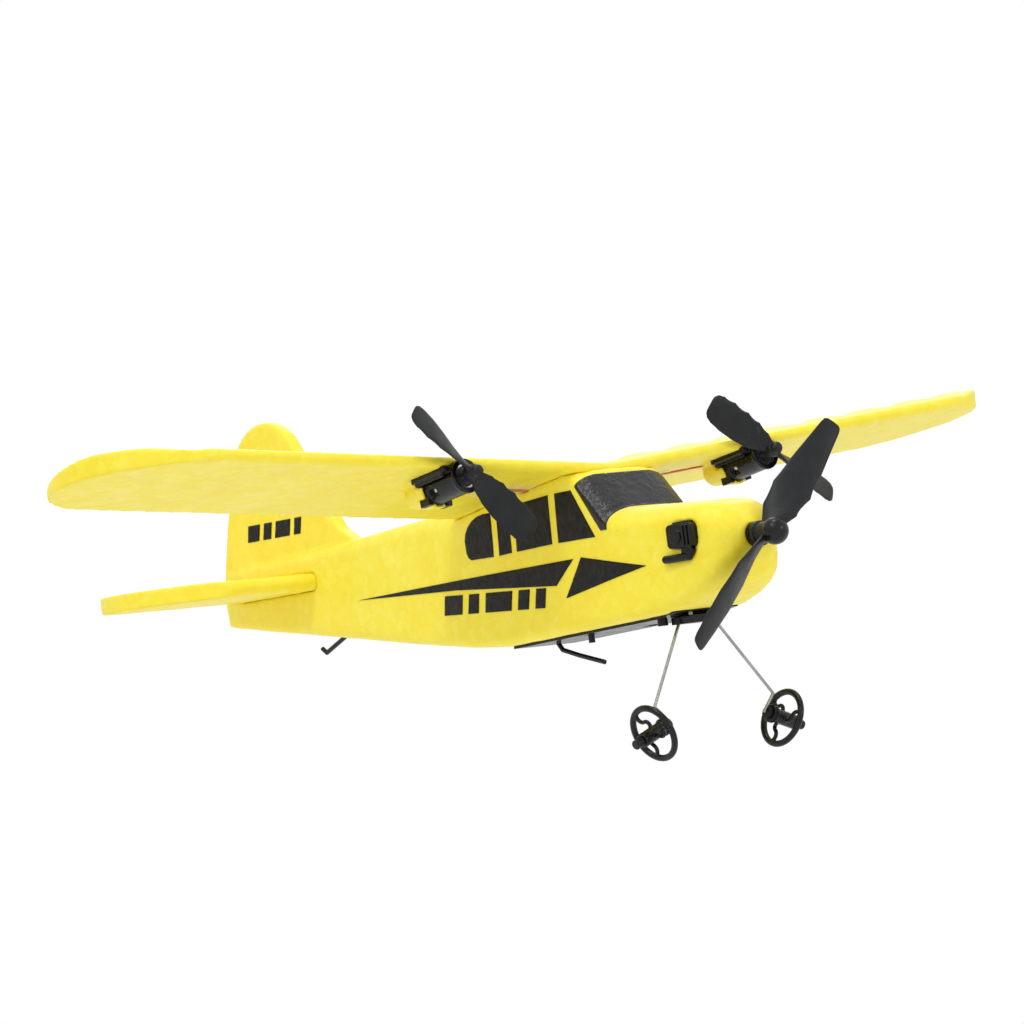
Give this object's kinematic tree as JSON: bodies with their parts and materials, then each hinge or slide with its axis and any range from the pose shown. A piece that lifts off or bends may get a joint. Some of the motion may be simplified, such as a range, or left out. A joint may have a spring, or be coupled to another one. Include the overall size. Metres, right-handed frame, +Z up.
{
  "type": "rc foam airplane",
  "caption": "High-wing foam model airplane with two wing motors driving propellers, a free-turning nose propeller and spoked wheels on a sprung wire.",
  "frame": {"origin": "on the ground plane under the middle of the overall length, in the plane of symmetry", "axes": "+X towards the nose, +Y towards the port (left) wing tip, +Z up"},
  "size_m": [0.2616, 0.34, 0.1195],
  "materials": {
    "foam_yellow": "matte",
    "sticker_black": "satin",
    "film_black": "gloss",
    "plastic_black": "satin",
    "propeller_black": "satin",
    "steel_wire": "bright",
    "skid_black": "satin",
    "motor_steel": "bright",
    "magnet": "satin",
    "copper": "satin",
    "lead_red": "satin",
    "antenna_black": "satin",
    "board_green": "gloss",
    "chip_black": "matte",
    "cell_silver": "satin",
    "clear_tape": "gloss"
  },
  "bodies": {
    "airframe": {"fuselage_foam": "foam_yellow", "wing_foam": "foam_yellow", "tailplane_foam": "foam_yellow", "windscreen_film": "film_black", "nose_bush": "plastic_black", "electronics_tray": "plastic_black", "gear_clamp_block": "plastic_black", "gear_clamp_screws": "steel_wire", "gear_wire": "steel_wire", "tail_skid": "skid_black", "antenna_wire": "antenna_black", "switch_body": "plastic_black", "charge_socket": "plastic_black", "battery_cell": "cell_silver", "battery_leads": "lead_red", "receiver_board": "board_green", "board_components": "chip_black", "side_windows_left": "sticker_black", "side_windows_right": "sticker_black", "side_flash_left": "sticker_black", "side_flash_right": "sticker_black", "side_marking_left": "sticker_black", "side_marking_right": "sticker_black", "fin_marking_left": "sticker_black", "fin_marking_right": "sticker_black", "engine_cylinder_left": "plastic_black", "engine_cylinder_right": "plastic_black", "wheel_stop_collar_left": "plastic_black", "wheel_stop_collar_right": "plastic_black", "wheel_retainer_cap_left": "plastic_black", "wheel_retainer_cap_right": "plastic_black", "motor_mount_left": "plastic_black", "motor_mount_right": "plastic_black", "motor_can_left": "motor_steel", "motor_can_right": "motor_steel", "motor_magnet_left": "magnet", "motor_magnet_right": "magnet", "motor_end_cap_left": "plastic_black", "motor_end_cap_right": "plastic_black", "motor_leads_left": "lead_red", "motor_leads_right": "lead_red", "lead_tape_left": "clear_tape", "lead_tape_right": "clear_tape"},
    "propeller_left": {"wing_propeller_left": "propeller_black", "motor_shaft_left": "steel_wire", "motor_rotor_left": "copper"},
    "wheel_left": {"wheel_left": "plastic_black"},
    "propeller_right": {"wing_propeller_right": "propeller_black", "motor_shaft_right": "steel_wire", "motor_rotor_right": "copper"},
    "wheel_right": {"wheel_right": "plastic_black"},
    "nose_propeller": {"nose_propeller": "propeller_black", "nose_spinner": "plastic_black", "nose_shaft": "steel_wire", "nose_shaft_collar": "steel_wire"},
    "power_switch": {"switch_knob": "plastic_black"}
  },
  "joints": [
    {"name": "left_propeller_spin", "type": "hinge", "parent": "airframe", "child": "propeller_left", "pos_m": [0.0674, 0.0571, 0.0871], "axis": [0.989, 0, 0.1478], "continuous": true},
    {"name": "right_propeller_spin", "type": "hinge", "parent": "airframe", "child": "propeller_right", "pos_m": [0.0674, -0.0571, 0.0871], "axis": [0.989, 0, 0.1478], "continuous": true},
    {"name": "nose_propeller_spin", "type": "hinge", "parent": "airframe", "child": "nose_propeller", "pos_m": [0.1232, 0, 0.0602], "axis": [1, 0, 0], "continuous": true},
    {"name": "left_wheel_spin", "type": "hinge", "parent": "airframe", "child": "wheel_left", "pos_m": [0.0933, 0.0245, 0.0082], "axis": [0, 0.9348, -0.3552], "continuous": true},
    {"name": "right_wheel_spin", "type": "hinge", "parent": "airframe", "child": "wheel_right", "pos_m": [0.0933, -0.0245, 0.0082], "axis": [0, -0.9348, -0.3552], "continuous": true},
    {"name": "power_switch_slide", "type": "slide", "parent": "airframe", "child": "power_switch", "axis": [1, 0, 0], "range_m": [-0.001, 0.001]}
  ]
}
